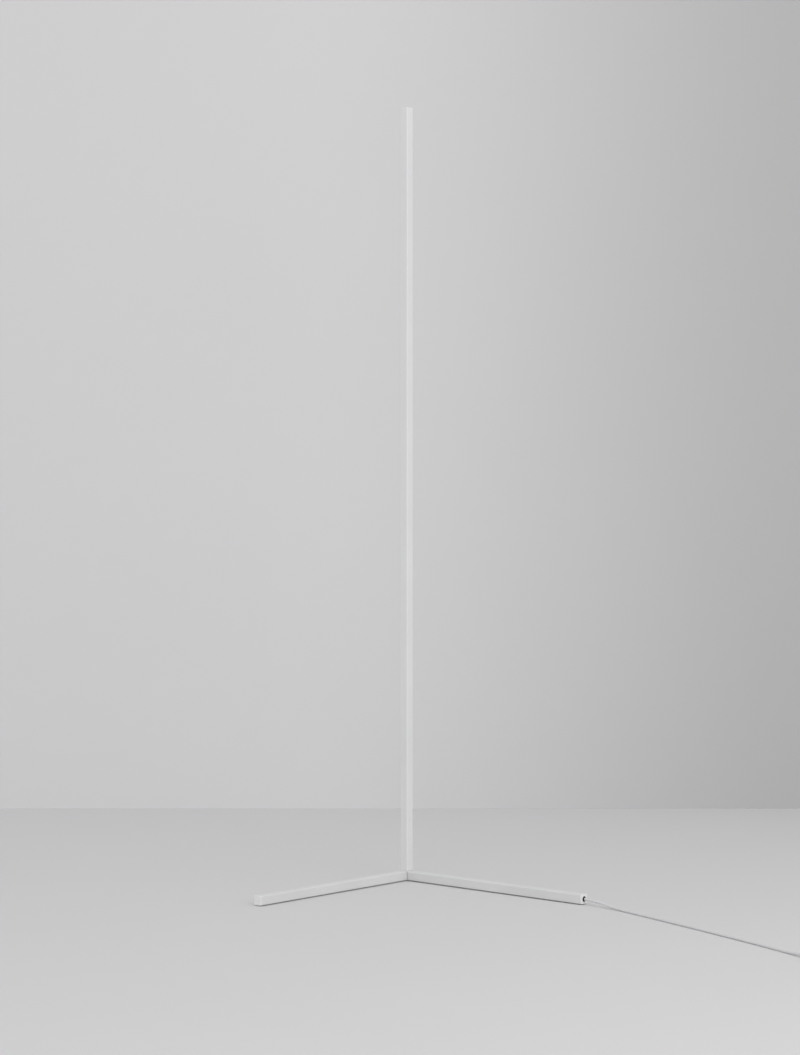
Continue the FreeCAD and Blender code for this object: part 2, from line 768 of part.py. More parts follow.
def make_plug(start, heading):
    # flat two-pin plug: a boot on the cord, a waisted body and a flat face with the pins
    def place(shape):
        angle = math.degrees(math.atan2(heading.y, heading.x))
        shape.rotate(Vector(0, 0, 0), Vector(0, 0, 1), angle)
        shape.translate(start)
        return shape

    boot = Part.makeCone(boot_tip_radius, boot_radius, boot_length, Vector(0, 0, 0), Vector(1, 0, 0))
    front = boot_length + plug_length
    grown = boot_length + plug_length * 0.25
    flared = boot_length + plug_length * 0.78
    half, flat, neck = plug_width / 2, plug_flat / 2, plug_neck / 2
    # seen from above
    right = [(boot_length, -neck, 2), (grown, -flat, 5), (flared - 6, -flat, 12), (flared, -half, 4), (front, -half, 1)]
    left = [(x, -y, radius) for x, y, radius in right[::-1]]
    from_above = prism(right + left, -plug_thickness, plug_thickness)
    # seen from the front, a flattened hexagon
    high = plug_thickness / 2
    from_front = along_bar(prism([(-half, 0, 3), (-flat, -high, 2.5), (flat, -high, 2.5), (half, 0, 3),
                                  (flat, high, 2.5), (-flat, high, 2.5)], boot_length, front))
    # seen from the side, drawn as (height, length)
    thin = plug_neck_thickness / 2
    right = [(thin, boot_length, 1), (high, grown, 6), (high, front, 1)]
    left = [(-x, y, radius) for x, y, radius in right[::-1]]
    from_side = prism(right + left, -plug_width, plug_width)
    from_side.rotate(Vector(0, 0, 0), Vector(1, 1, 1), -120)
    body = from_above.common(from_front).common(from_side).fuse(boot).removeSplitter()
    pins = []
    for side in (-1, 1):
        root = Vector(front, side * pin_spacing / 2, 0)
        pin = Part.makeCylinder(pin_neck, pin_length - pin_bare, root, Vector(1, 0, 0))
        tip = Part.makeCylinder(pin_radius, pin_bare, root + Vector(pin_length - pin_bare, 0, 0), Vector(1, 0, 0))
        end = max(tip.Faces, key=lambda face: face.CenterOfMass.x)
        tip = tip.makeChamfer(pin_radius * 0.4, end.OuterWire.Edges)
        pins.append(place(pin.fuse(tip).removeSplitter()))
    save("plug_body", place(body))
    save("plug_pins", *pins)


os.makedirs("parts", exist_ok=True)
underside = [make_pole()]
make_light()
for leg_name, leg_data in legs.items():
    underside += make_leg(leg_name, leg_data)
save("underside_screws", *underside)
save("corner_foot", Part.makeCylinder(foot_radius, foot_height))
make_driver()
make_switch()
make_cords()
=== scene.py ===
import bpy
import bmesh
import math
from mathutils import Matrix, Vector


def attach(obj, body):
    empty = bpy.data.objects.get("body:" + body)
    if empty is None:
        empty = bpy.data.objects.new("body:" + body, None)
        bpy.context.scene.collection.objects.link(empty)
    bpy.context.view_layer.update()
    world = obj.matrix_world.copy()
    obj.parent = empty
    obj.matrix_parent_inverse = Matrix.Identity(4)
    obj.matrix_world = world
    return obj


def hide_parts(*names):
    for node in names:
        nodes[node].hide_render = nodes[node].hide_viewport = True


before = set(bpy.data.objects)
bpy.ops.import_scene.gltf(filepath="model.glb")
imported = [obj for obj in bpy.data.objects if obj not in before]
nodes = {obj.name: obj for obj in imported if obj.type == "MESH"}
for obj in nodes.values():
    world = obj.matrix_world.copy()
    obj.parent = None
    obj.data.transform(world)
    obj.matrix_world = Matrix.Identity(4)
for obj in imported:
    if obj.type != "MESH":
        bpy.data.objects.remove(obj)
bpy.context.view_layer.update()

scene = bpy.context.scene
print("frame loaded:", len(nodes), "nodes")

# camera, its lens and place solved from the three bars at right angles
cameraSetup = {
    "place": (3.506, -3.948, 0.8248),  # metres, level with the middle of the pole
    "heading": (-0.66609, 0.74587, 0.0),
    "lens": 82.78,
    "shiftY": -0.0251,
}
cameraData = bpy.data.cameras.new("photoView")
cameraData.lens = cameraSetup["lens"]
cameraData.sensor_width = 36.0
cameraData.shift_y = cameraSetup["shiftY"]
cameraData.clip_start, cameraData.clip_end = 0.05, 60.0
camera = bpy.data.objects.new("photoView", cameraData)
camera.location = cameraSetup["place"]
camera.rotation_euler = Vector(cameraSetup["heading"]).to_track_quat("-Z", "Y").to_euler()
scene.collection.objects.link(camera)
scene.camera = camera


def linkPiece(name, mesh, body="lamp"):
    piece = bpy.data.objects.new(name, mesh)
    scene.collection.objects.link(piece)
    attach(piece, body)
    return piece


def setFinish(target, material):
    # one material on a node or a piece
    slots = target.data.materials
    slots.clear()
    slots.append(material)


def turned(x, y, degrees):
    a = math.radians(degrees)
    return x * math.cos(a) - y * math.sin(a), x * math.sin(a) + y * math.cos(a)


# cords: the route of their middle line, in metres
cordSheath = {
    "diameter": 0.0056,
    "exit": (0.485, 0.0, 0.0115),  # middle of the cable hole in the right leg's end
    "roundness": 6,  # bevel steps
    "steps": 10,  # curve steps between control points
}
cordRunRoute = [
    (0.463, 0.0, 0.0115),
    (0.491, 0.0, 0.0115),
    (0.522, -0.0016, 0.0098),
    (0.556, -0.0074, 0.0049),
    (0.592, -0.016, 0.0028),
    (0.648, -0.0324, 0.0028),
    (0.724, -0.056, 0.0028),
    (0.806, -0.0823, 0.0028),
    (0.888, -0.1091, 0.0028),
    (0.968, -0.1358, 0.0028),
    (1.040, -0.1613, 0.0028),
    (1.096, -0.1826, 0.0028),
    (1.1224, -0.1929, 0.0053),
    (1.1504, -0.2036, 0.006),
    (1.1785, -0.2142, 0.006),
]
switchLine = {"start": (1.171, -0.2114), "heading": -20.8, "length": 0.084, "height": 0.006}
coilShape = {
    "linkLength": 0.076,  # switch to the first turn
    "linkHidden": 0.008,  # inside the switch
    "linkStraight": 0.022,
    "linkSinks": 0.027,  # from here to the coil it comes down to the floor
    "linkDip": 0.0008,
    "linkDown": 0.011,
    "tailLength": 0.055,  # last turn to the plug
    "tailLeaves": 0.013,
    "tailRaised": 0.015,
    "turnsPerLayer": 3,
    "midRadius": 0.0336,
    "pitch": 0.00605,
    "pointsPerHalfTurn": 7,
    "plugHeight": 0.00705,
}


def onCordLine(along, across, height):
    # a point of the switch's own line in the row frame
    x, y = turned(along, across, switchLine["heading"])
    return x + switchLine["start"][0], y + switchLine["start"][1], height


def coilRoute():
    low, pitch = cordSheath["diameter"] / 2, coilShape["pitch"]
    straight = cordSheath["diameter"]
    far = switchLine["length"]
    begin = far + coilShape["linkLength"]
    layer = 2 * coilShape["turnsPerLayer"]
    first = coilShape["midRadius"] + layer * pitch / 4
    # half turns of a flat spiral inwards, then outwards on top of it
    radii = [first - k * pitch / 2 for k in range(layer + 2)]
    radii += [radii[layer - 1] + k * pitch / 2 for k in range(layer)]
    heights = [low] * (layer + 1) + [low + pitch] * (layer + 1)
    route = [
        onCordLine(far - coilShape["linkHidden"], 0.0, switchLine["height"]),
        onCordLine(far + coilShape["linkStraight"], 0.0, switchLine["height"]),
        onCordLine(begin - straight - coilShape["linkSinks"], 0.0,
                   switchLine["height"] - coilShape["linkDip"]),
        onCordLine(begin - straight - coilShape["linkDown"], 0.0, low),
        onCordLine(begin - straight, 0.0, low),
    ]
    points = coilShape["pointsPerHalfTurn"]
    step = math.pi / points
    for k in range(len(radii) - 1):
        side = 1 if k % 2 else -1
        a, b = side * radii[k], -side * radii[k + 1]
        middle, radius = (a + b) / 2, abs(a - b) / 2
        for i in range(points):
            angle = (i + 0.5) * step
            along = begin - side * radius * math.sin(angle) / math.cos(step / 2)
            across = first + middle + side * radius * math.cos(angle) / math.cos(step / 2)
            height = heights[k] + (heights[k + 1] - heights[k]) * (1 - math.cos(angle)) / 2
            route.append(onCordLine(along, across, height))
    last, top = first + radii[-1], heights[-1]
    for back, height in ((straight, top), (straight + coilShape["tailLeaves"], top),
                         (coilShape["tailLength"] - coilShape["tailRaised"], coilShape["plugHeight"]),
                         (coilShape["tailLength"], coilShape["plugHeight"])):
        route.append(onCordLine(begin - back, last, height))
    return route


def layCord(name, route):
    curve = bpy.data.curves.new(name, "CURVE")
    curve.dimensions = "3D"
    curve.bevel_depth = 1.0  # times each point's radius
    curve.bevel_resolution = cordSheath["roundness"]
    curve.resolution_u = cordSheath["steps"]
    curve.use_fill_caps = True
    spline = curve.splines.new("NURBS")
    spline.points.add(len(route) - 1)
    for point, place in zip(spline.points, route):
        point.co = (*place, 1.0)
        point.radius = cordSheath["diameter"] / 2
    spline.order_u = 3
    spline.use_endpoint_u = True
    spline.resolution_u = cordSheath["steps"]
    cord = bpy.data.objects.new(name, curve)
    scene.collection.objects.link(cord)
    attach(cord, "lamp")
    return cord


cordRun = layCord("cordRun", cordRunRoute)
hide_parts("cord_run")
cordCoil = layCord("cordCoil", coilRoute())
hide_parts("cord_link", "cord_coil", "cord_tail")
print("cords laid")


def newFinish(name):
    material = bpy.data.materials.new(name)
    material.use_nodes = True
    tree = material.node_tree
    tree.nodes.clear()
    output = tree.nodes.new("ShaderNodeOutputMaterial")
    shader = tree.nodes.new("ShaderNodeBsdfPrincipled")
    tree.links.new(shader.outputs["BSDF"], output.inputs["Surface"])
    return material, tree, shader


def surfaceNoise(tree, scale, detail, stretch=(1.0, 1.0, 1.0)):
    # noise over the piece's own coordinates, stretch under 1 draws it out along that axis
    place = tree.nodes.new("ShaderNodeTexCoord")
    mapping = tree.nodes.new("ShaderNodeMapping")
    mapping.inputs["Scale"].default_value = stretch
    noise = tree.nodes.new("ShaderNodeTexNoise")
    noise.inputs["Scale"].default_value = scale
    noise.inputs["Detail"].default_value = detail
    tree.links.new(place.outputs["Object"], mapping.inputs["Vector"])
    tree.links.new(mapping.outputs["Vector"], noise.inputs["Vector"])
    return noise.outputs["Fac"]


noiseSpan = (0.3, 0.7)  # nearly all of the noise lies in it


def spread(tree, value, low, high):
    node = tree.nodes.new("ShaderNodeMapRange")
    node.inputs["From Min"].default_value = noiseSpan[0]
    node.inputs["From Max"].default_value = noiseSpan[1]
    node.inputs["To Min"].default_value = low
    node.inputs["To Max"].default_value = high
    tree.links.new(value, node.inputs["Value"])
    return node.outputs["Result"]


toneStops = (0.32, 0.68)  # where noise turns from the darker tone to the lighter


def twoTone(tree, value, first, second):
    ramp = tree.nodes.new("ShaderNodeValToRGB")
    for element, place, tone in zip(ramp.color_ramp.elements, toneStops, (first, second)):
        element.position = place
        element.color = (*tone, 1.0)
    tree.links.new(value, ramp.inputs["Fac"])
    return ramp.outputs["Color"]


def relief(tree, shader, heights):
    # bumps in layers, each (value, depth in metres)
    normal = None
    for value, depth in heights:
        bump = tree.nodes.new("ShaderNodeBump")
        bump.inputs["Strength"].default_value = 1.0
        bump.inputs["Distance"].default_value = depth
        tree.links.new(value, bump.inputs["Height"])
        if normal is not None:
            tree.links.new(normal, bump.inputs["Normal"])
        normal = bump.outputs["Normal"]
    tree.links.new(normal, shader.inputs["Normal"])


speckShare = {"scale": 4.5, "depth": 0.25}  # of the peel's own
streakMix = 0.45  # share of the mottle over the streaks
plasticBody = {"specular": 0.45, "glowDepth": 0.002, "glowRadius": (1.0, 0.9, 0.8)}


def powderCoat(look):
    # fine orange peel, with a slow drift in tone and gloss
    material, tree, shader = newFinish(look["name"])
    drift = surfaceNoise(tree, look["driftScale"], 2.0)
    tree.links.new(twoTone(tree, drift, look["shade"], look["colour"]), shader.inputs["Base Color"])
    peel = surfaceNoise(tree, look["peelScale"], 2.0)
    speck = surfaceNoise(tree, look["peelScale"] * speckShare["scale"], 1.0)
    tree.links.new(spread(tree, drift, *look["roughness"]), shader.inputs["Roughness"])
    relief(tree, shader, [(peel, look["peelDepth"]), (speck, look["peelDepth"] * speckShare["depth"])])
    shader.inputs["Specular IOR Level"].default_value = look["specular"]
    return material


def mouldedPlastic(look):
    # spark-eroded grain and faint flow marks
    material, tree, shader = newFinish(look["name"])
    flow = surfaceNoise(tree, look["flowScale"], 3.0, look.get("stretch", (1.0, 1.0, 1.0)))
    tree.links.new(twoTone(tree, flow, look["shade"], look["colour"]), shader.inputs["Base Color"])
    grain = surfaceNoise(tree, look["grainScale"], 4.0)
    tree.links.new(spread(tree, grain, *look["roughness"]), shader.inputs["Roughness"])
    relief(tree, shader, [(grain, look["grainDepth"])])
    shader.inputs["Specular IOR Level"].default_value = plasticBody["specular"]
    if "subsurface" in look:
        shader.inputs["Subsurface Weight"].default_value = look["subsurface"]
        shader.inputs["Subsurface Scale"].default_value = plasticBody["glowDepth"]
        shader.inputs["Subsurface Radius"].default_value = plasticBody["glowRadius"]
    return material


def bareMetal(look):
    # drawn or sawn metal: streaks along one direction under a mottled film
    material, tree, shader = newFinish(look["name"])
    streaks = surfaceNoise(tree, look["streakScale"], 4.0, look["stretch"])
    mottle = surfaceNoise(tree, look["mottleScale"], 3.0)
    mix = tree.nodes.new("ShaderNodeMix")
    mix.data_type = "FLOAT"
    mix.inputs[0].default_value = streakMix
    tree.links.new(streaks, mix.inputs[2])
    tree.links.new(mottle, mix.inputs[3])
    tree.links.new(twoTone(tree, mix.outputs[0], look["shade"], look["colour"]), shader.inputs["Base Color"])
    tree.links.new(spread(tree, streaks, *look["roughness"]), shader.inputs["Roughness"])
    relief(tree, shader, [(streaks, look["streakDepth"])])
    shader.inputs["Metallic"].default_value = 1.0
    return material


barPaint = powderCoat({
    "name": "barPaint", "colour": (0.735, 0.74, 0.745), "shade": (0.705, 0.71, 0.715), "driftScale": 5.0,
    "peelScale": 900.0, "peelDepth": 0.00003, "roughness": (0.42, 0.5), "specular": 0.45,
})
# painted shade: the pole's same white coat, set darker on the legs for the shade they lie in low by the floor
shadedLegPaint = powderCoat({
    "name": "shadedLegPaint", "colour": (0.685, 0.688, 0.69), "shade": (0.65, 0.653, 0.655), "driftScale": 7.0,
    "peelScale": 900.0, "peelDepth": 0.00003, "roughness": (0.44, 0.54), "specular": 0.4,
})
capPlastic = mouldedPlastic({
    "name": "capPlastic", "colour": (0.79, 0.79, 0.792), "shade": (0.765, 0.765, 0.767), "flowScale": 60.0,
    "grainScale": 2600.0, "grainDepth": 0.00002, "roughness": (0.42, 0.52),
})
opalCover = mouldedPlastic({
    "name": "opalCover", "colour": (0.8, 0.8, 0.785), "shade": (0.77, 0.77, 0.755), "flowScale": 120.0,
    "grainScale": 3500.0, "grainDepth": 0.000008, "roughness": (0.3, 0.4), "stretch": (1.0, 1.0, 0.02),
    "subsurface": 0.35,
})
stripMask = mouldedPlastic({
    "name": "stripMask", "colour": (0.8, 0.8, 0.78), "shade": (0.74, 0.74, 0.71), "flowScale": 90.0,
    "grainScale": 1800.0, "grainDepth": 0.00001, "roughness": (0.25, 0.34),
})
diodePhosphor = mouldedPlastic({
    "name": "diodePhosphor", "colour": (0.82, 0.62, 0.1), "shade": (0.74, 0.5, 0.05), "flowScale": 700.0,
    "grainScale": 4000.0, "grainDepth": 0.00001, "roughness": (0.2, 0.3),
})
diodeCase = mouldedPlastic({
    "name": "diodeCase", "colour": (0.82, 0.82, 0.8), "shade": (0.78, 0.78, 0.75), "flowScale": 500.0,
    "grainScale": 4000.0, "grainDepth": 0.000006, "roughness": (0.3, 0.4),
})
# mill aluminium set darker than its bare tone, painted shade in the shadow gaps where the spigots show
millAluminiumShaded = bareMetal({
    "name": "millAluminiumShaded", "colour": (0.5, 0.51, 0.52), "shade": (0.36, 0.37, 0.38), "streakScale": 700.0,
    "mottleScale": 60.0, "stretch": (0.03, 1.0, 1.0), "streakDepth": 0.00002, "roughness": (0.3, 0.48),
})
zincPlate = bareMetal({
    "name": "zincPlate", "colour": (0.62, 0.64, 0.66), "shade": (0.46, 0.47, 0.5), "streakScale": 1600.0,
    "mottleScale": 500.0, "stretch": (1.0, 1.0, 1.0), "streakDepth": 0.00001, "roughness": (0.24, 0.4),
})
darkSteel = bareMetal({
    "name": "darkSteel", "colour": (0.25, 0.25, 0.255), "shade": (0.13, 0.13, 0.135), "streakScale": 500.0,
    "mottleScale": 45.0, "stretch": (0.05, 1.0, 1.0), "streakDepth": 0.00002, "roughness": (0.35, 0.55),
})
driverCase = mouldedPlastic({
    "name": "driverCase", "colour": (0.78, 0.78, 0.775), "shade": (0.73, 0.73, 0.725), "flowScale": 70.0,
    "grainScale": 1500.0, "grainDepth": 0.00004, "roughness": (0.5, 0.62),
})
leadInsulation = mouldedPlastic({
    "name": "leadInsulation", "colour": (0.045, 0.045, 0.05), "shade": (0.03, 0.03, 0.034),
    "flowScale": 300.0, "grainScale": 2500.0, "grainDepth": 0.00001, "roughness": (0.3, 0.42),
})
coreInsulation = mouldedPlastic({
    "name": "coreInsulation", "colour": (0.2, 0.095, 0.045), "shade": (0.16, 0.075, 0.035),
    "flowScale": 300.0, "grainScale": 2500.0, "grainDepth": 0.00001, "roughness": (0.3, 0.42),
})
clampNylon = mouldedPlastic({
    "name": "clampNylon", "colour": (0.66, 0.655, 0.61), "shade": (0.6, 0.595, 0.55), "flowScale": 150.0,
    "grainScale": 1500.0, "grainDepth": 0.00002, "roughness": (0.4, 0.52), "subsurface": 0.2,
})
footRubber = mouldedPlastic({
    "name": "footRubber", "colour": (0.5, 0.5, 0.495), "shade": (0.43, 0.43, 0.425), "flowScale": 200.0,
    "grainScale": 1600.0, "grainDepth": 0.00005, "roughness": (0.7, 0.85),
})
cordPvc = mouldedPlastic({
    "name": "cordPvc", "colour": (0.655, 0.658, 0.664), "shade": (0.63, 0.633, 0.64), "flowScale": 40.0,
    "grainScale": 1400.0, "grainDepth": 0.000012, "roughness": (0.36, 0.46),
})
switchPlastic = mouldedPlastic({
    "name": "switchPlastic", "colour": (0.745, 0.745, 0.745), "shade": (0.715, 0.715, 0.715),
    "flowScale": 30.0, "grainScale": 1900.0, "grainDepth": 0.00005, "roughness": (0.4, 0.52),
})
buttonPlastic = mouldedPlastic({
    "name": "buttonPlastic", "colour": (0.76, 0.76, 0.76), "shade": (0.74, 0.74, 0.74), "flowScale": 60.0,
    "grainScale": 2600.0, "grainDepth": 0.00001, "roughness": (0.22, 0.32),
})
# near black rubber, partly painted shade: it darkens the cable hole where the hole's own shade falls
grommetShadeBlack = mouldedPlastic({
    "name": "grommetShadeBlack", "colour": (0.022, 0.022, 0.023), "shade": (0.016, 0.016, 0.017),
    "flowScale": 200.0, "grainScale": 1500.0, "grainDepth": 0.00002, "roughness": (0.6, 0.75),
})
unitPlastic = mouldedPlastic({
    "name": "unitPlastic", "colour": (0.035, 0.035, 0.037), "shade": (0.025, 0.025, 0.027),
    "flowScale": 120.0, "grainScale": 1800.0, "grainDepth": 0.00003, "roughness": (0.45, 0.6),
})
plugPvc = mouldedPlastic({
    "name": "plugPvc", "colour": (0.73, 0.735, 0.74), "shade": (0.7, 0.705, 0.71), "flowScale": 50.0,
    "grainScale": 1500.0, "grainDepth": 0.00004, "roughness": (0.48, 0.6),
})
pinNickel = bareMetal({
    "name": "pinNickel", "colour": (0.72, 0.7, 0.65), "shade": (0.6, 0.58, 0.53), "streakScale": 1500.0,
    "mottleScale": 300.0, "stretch": (0.1, 1.0, 1.0), "streakDepth": 0.000008, "roughness": (0.14, 0.26),
})
nodeFinishes = {
    "pole_profile": barPaint, "right_leg_profile": shadedLegPaint, "left_leg_profile": shadedLegPaint,
    "pole_top_cap": capPlastic, "pole_bottom_plug": capPlastic,
    "right_leg_end_cap": capPlastic, "left_leg_end_cap": capPlastic,
    "pole_diffuser": opalCover, "led_board": stripMask, "led_chips": diodeCase,
    "corner_core": millAluminiumShaded, "right_leg_spigot": millAluminiumShaded, "left_leg_spigot": millAluminiumShaded,
    "right_leg_bolt": zincPlate, "left_leg_bolt": zincPlate, "underside_screws": zincPlate,
    "cord_clamp_screws": zincPlate, "switch_screws": zincPlate,
    "right_leg_ballast": darkSteel, "left_leg_ballast": darkSteel,
    "led_driver": driverCase, "light_leads": leadInsulation,
    "mains_leads": coreInsulation, "switch_leads": coreInsulation,
    "cord_clamp_base": clampNylon, "cord_clamp_bar": clampNylon, "switch_cord_grips": clampNylon,
    "corner_foot": footRubber, "right_inner_foot": footRubber, "right_outer_foot": footRubber,
    "left_inner_foot": footRubber, "left_outer_foot": footRubber,
    "cord_inner_end": cordPvc, "cord_run": cordPvc, "cord_link": cordPvc, "cord_coil": cordPvc,
    "cord_tail": cordPvc, "switch_base": switchPlastic, "switch_cover": switchPlastic,
    "switch_button": buttonPlastic, "switch_unit": unitPlastic, "switch_sleeves": plugPvc,
    "plug_body": plugPvc, "plug_pins": pinNickel,
}
for name, node in nodes.items():
    setFinish(node, nodeFinishes[name])
for cord in (cordRun, cordCoil):
    setFinish(cord, cordPvc)
print("finishes set:", len(set(nodeFinishes.values())))


# repeated details, grown with Geometry Nodes
def newTree(name, sockets):
    tree = bpy.data.node_groups.new(name, "GeometryNodeTree")
    for label, kind, value in sockets:
        socket = tree.interface.new_socket(label, in_out="INPUT", socket_type=kind)
        if value is not None:
            socket.default_value = value
    tree.interface.new_socket("Geometry", in_out="OUTPUT", socket_type="NodeSocketGeometry")
    return tree, tree.nodes.new("NodeGroupInput"), tree.nodes.new("NodeGroupOutput")


def endTree(tree, start, end, geometry, smooth):
    realize = tree.nodes.new("GeometryNodeRealizeInstances")
    shade = tree.nodes.new("GeometryNodeSetShadeSmooth")
    shade.inputs["Shade Smooth"].default_value = smooth
    finish = tree.nodes.new("GeometryNodeSetMaterial")
    tree.links.new(geometry, realize.inputs["Geometry"])
    tree.links.new(realize.outputs["Geometry"], shade.inputs["Geometry"])
    tree.links.new(shade.outputs["Geometry"], finish.inputs["Geometry"])
    tree.links.new(start.outputs["Finish"], finish.inputs["Material"])
    tree.links.new(finish.outputs["Geometry"], end.inputs["Geometry"])


def blockRowTree():
    # equal blocks in a straight row, such as diodes, pads or grip ribs
    tree, start, end = newTree("blockRow", [
        ("Count", "NodeSocketInt", 8), ("Step", "NodeSocketVector", None), ("Size", "NodeSocketVector", None),
        ("Finish", "NodeSocketMaterial", None)])
    line = tree.nodes.new("GeometryNodeMeshLine")
    block = tree.nodes.new("GeometryNodeMeshCube")
    place = tree.nodes.new("GeometryNodeInstanceOnPoints")
    tree.links.new(start.outputs["Count"], line.inputs["Count"])
    tree.links.new(start.outputs["Step"], line.inputs["Offset"])
    tree.links.new(start.outputs["Size"], block.inputs["Size"])
    tree.links.new(line.outputs["Mesh"], place.inputs["Points"])
    tree.links.new(block.outputs["Mesh"], place.inputs["Instance"])
    endTree(tree, start, end, place.outputs["Instances"], False)
    return tree


beadSides = 8  # round the section of a rib or ring


def ringRowTree():
    # rings along Z whose radius changes evenly from the first to the last
    tree, start, end = newTree("ringRow", [
        ("Count", "NodeSocketInt", 5), ("Step", "NodeSocketFloat", 0.002),
        ("First Radius", "NodeSocketFloat", 0.005), ("Last Radius", "NodeSocketFloat", 0.004),
        ("Bead", "NodeSocketFloat", 0.1), ("Sides", "NodeSocketInt", 40),
        ("Finish", "NodeSocketMaterial", None)])
    line = tree.nodes.new("GeometryNodeMeshLine")
    offset = tree.nodes.new("ShaderNodeCombineXYZ")
    ring = tree.nodes.new("GeometryNodeCurvePrimitiveCircle")
    ring.inputs["Radius"].default_value = 1.0
    bead = tree.nodes.new("GeometryNodeCurvePrimitiveCircle")
    bead.inputs["Resolution"].default_value = beadSides
    sweep = tree.nodes.new("GeometryNodeCurveToMesh")
    index = tree.nodes.new("GeometryNodeInputIndex")
    lastIndex = tree.nodes.new("ShaderNodeMath")
    lastIndex.operation = "SUBTRACT"
    lastIndex.inputs[1].default_value = 1.0
    radius = tree.nodes.new("ShaderNodeMapRange")
    place = tree.nodes.new("GeometryNodeInstanceOnPoints")
    tree.links.new(start.outputs["Step"], offset.inputs["Z"])
    tree.links.new(start.outputs["Count"], line.inputs["Count"])
    tree.links.new(offset.outputs["Vector"], line.inputs["Offset"])
    tree.links.new(start.outputs["Sides"], ring.inputs["Resolution"])
    tree.links.new(start.outputs["Bead"], bead.inputs["Radius"])
    tree.links.new(ring.outputs["Curve"], sweep.inputs["Curve"])
    tree.links.new(bead.outputs["Curve"], sweep.inputs["Profile Curve"])
    tree.links.new(start.outputs["Count"], lastIndex.inputs[0])
    tree.links.new(index.outputs["Index"], radius.inputs["Value"])
    tree.links.new(lastIndex.outputs["Value"], radius.inputs["From Max"])
    tree.links.new(start.outputs["First Radius"], radius.inputs["To Min"])
    tree.links.new(start.outputs["Last Radius"], radius.inputs["To Max"])
    tree.links.new(line.outputs["Mesh"], place.inputs["Points"])
    tree.links.new(sweep.outputs["Mesh"], place.inputs["Instance"])
    tree.links.new(radius.outputs["Result"], place.inputs["Scale"])
    endTree(tree, start, end, place.outputs["Instances"], True)
    return tree


def growPiece(name, tree, values, place, finish, body="lamp", bevel=0.0):
    # the tree's result as a plain mesh, moved to its place in the row frame
    host = bpy.data.objects.new(name + "Host", bpy.data.meshes.new(name + "Host"))
    scene.collection.objects.link(host)
    modifier = host.modifiers.new("grow", "NODES")
    modifier.node_group = tree
    sockets = {s.name: s.identifier for s in tree.interface.items_tree if s.in_out == "INPUT"}
    for label, value in values.items():
        modifier[sockets[label]] = value
    modifier[sockets["Finish"]] = finish
    if bevel:
        edge = host.modifiers.new("edge", "BEVEL")
        edge.width, edge.segments, edge.limit_method = bevel, 2, "ANGLE"
    depsgraph = bpy.context.evaluated_depsgraph_get()
    mesh = bpy.data.meshes.new_from_object(host.evaluated_get(depsgraph))
    bpy.data.objects.remove(host)
    mesh.name = name
    mesh.transform(place)
    shell = bmesh.new()
    shell.from_mesh(mesh)
    bmesh.ops.recalc_face_normals(shell, faces=shell.faces)
    shell.to_mesh(mesh)
    shell.free()
    piece = linkPiece(name, mesh, body)
    setFinish(piece, finish)
    return piece


blockRow, ringRow = blockRowTree(), ringRowTree()

# light strip: its frame has X towards the pole's rear edge and Z up the pole
strip = {
    "turn": 135.0,
    "front": 0.003342,  # the board's front face, from the pole's axis
    "first": 0.069,
    "pitch": 0.0165,
    "count": 97,
    "caseSize": (0.0007, 0.0035, 0.0028),
    "lensSize": (0.00006, 0.0026, 0.0021),
    "padSize": (0.00004, 0.0011, 0.0016),
    "padAside": 0.0026,
}
stripFrame = Matrix.Rotation(math.radians(strip["turn"]), 4, "Z")
stripStep = (0.0, 0.0, strip["pitch"])


def stripPlace(depth, side, height):
    return stripFrame @ Matrix.Translation((strip["front"] + depth, side, height))


caseDepth = strip["caseSize"][0]
lensPlace = stripPlace(caseDepth + strip["lensSize"][0] / 2, 0.0, strip["first"])
diodeCases = growPiece("diodeCases", blockRow,
                       {"Count": strip["count"], "Step": stripStep, "Size": strip["caseSize"]},
                       stripPlace(caseDepth / 2, 0.0, strip["first"]), diodeCase)
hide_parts("led_chips")
growPiece("diodeLenses", blockRow, {"Count": strip["count"], "Step": stripStep, "Size": strip["lensSize"]},
          lensPlace, diodePhosphor)
padHeight = strip["first"] + strip["pitch"] / 2  # half way between two diodes
for side, label in ((-1, "Left"), (1, "Right")):
    growPiece("solderPads" + label, blockRow,
              {"Count": strip["count"], "Step": stripStep, "Size": strip["padSize"]},
              stripPlace(strip["padSize"][0] / 2, side * strip["padAside"], padHeight),
              zincPlate)
print("light strip dressed")

# rubber ring that lines the cable hole round the cord, near black as painted shade for the dark depth of the
# hole
cableGrommetShade = {
    "inside": 0.0004,  # its flat rim's depth under the end cap's face
    "sides": 48,
    "sharpFrom": 50.0,  # degrees
    # (distance inwards from the rim, radius) round the ring's section, with a short collar on the cord
    "section": [(0.0006, 0.0056), (0.0, 0.0054), (0.0, 0.0047), (0.0005, 0.0043), (0.0, 0.0039),
                (-0.0020, 0.0036), (-0.0024, 0.0034), (-0.0024, 0.00315), (0.0070, 0.00305),
                (0.0070, 0.0056)],
}


def turnedRing(name, setup, finish):
    # the section turned round the cord's axis, a closed ring
    shell = bmesh.new()
    exitX, exitY, exitZ = cordSheath["exit"]
    rim = exitX - setup["inside"]
    rows = []
    for k in range(setup["sides"]):
        angle = 2 * math.pi * k / setup["sides"]
        rows.append([shell.verts.new((rim - inwards, exitY + radius * math.cos(angle),
                                      exitZ + radius * math.sin(angle)))
                     for inwards, radius in setup["section"]])
    count = len(setup["section"])
    for k, row in enumerate(rows):
        beside = rows[(k + 1) % len(rows)]
        for i in range(count):
            shell.faces.new((row[i], row[(i + 1) % count], beside[(i + 1) % count], beside[i]))
    bmesh.ops.recalc_face_normals(shell, faces=shell.faces)
    mesh = bpy.data.meshes.new(name)
    shell.to_mesh(mesh)
    shell.free()
    mesh.shade_smooth()
    mesh.set_sharp_from_angle(angle=math.radians(setup["sharpFrom"]))
    ring = linkPiece(name, mesh)
    setFinish(ring, finish)


turnedRing("cableGrommetShade", cableGrommetShade, grommetShadeBlack)
print("cable hole lined")

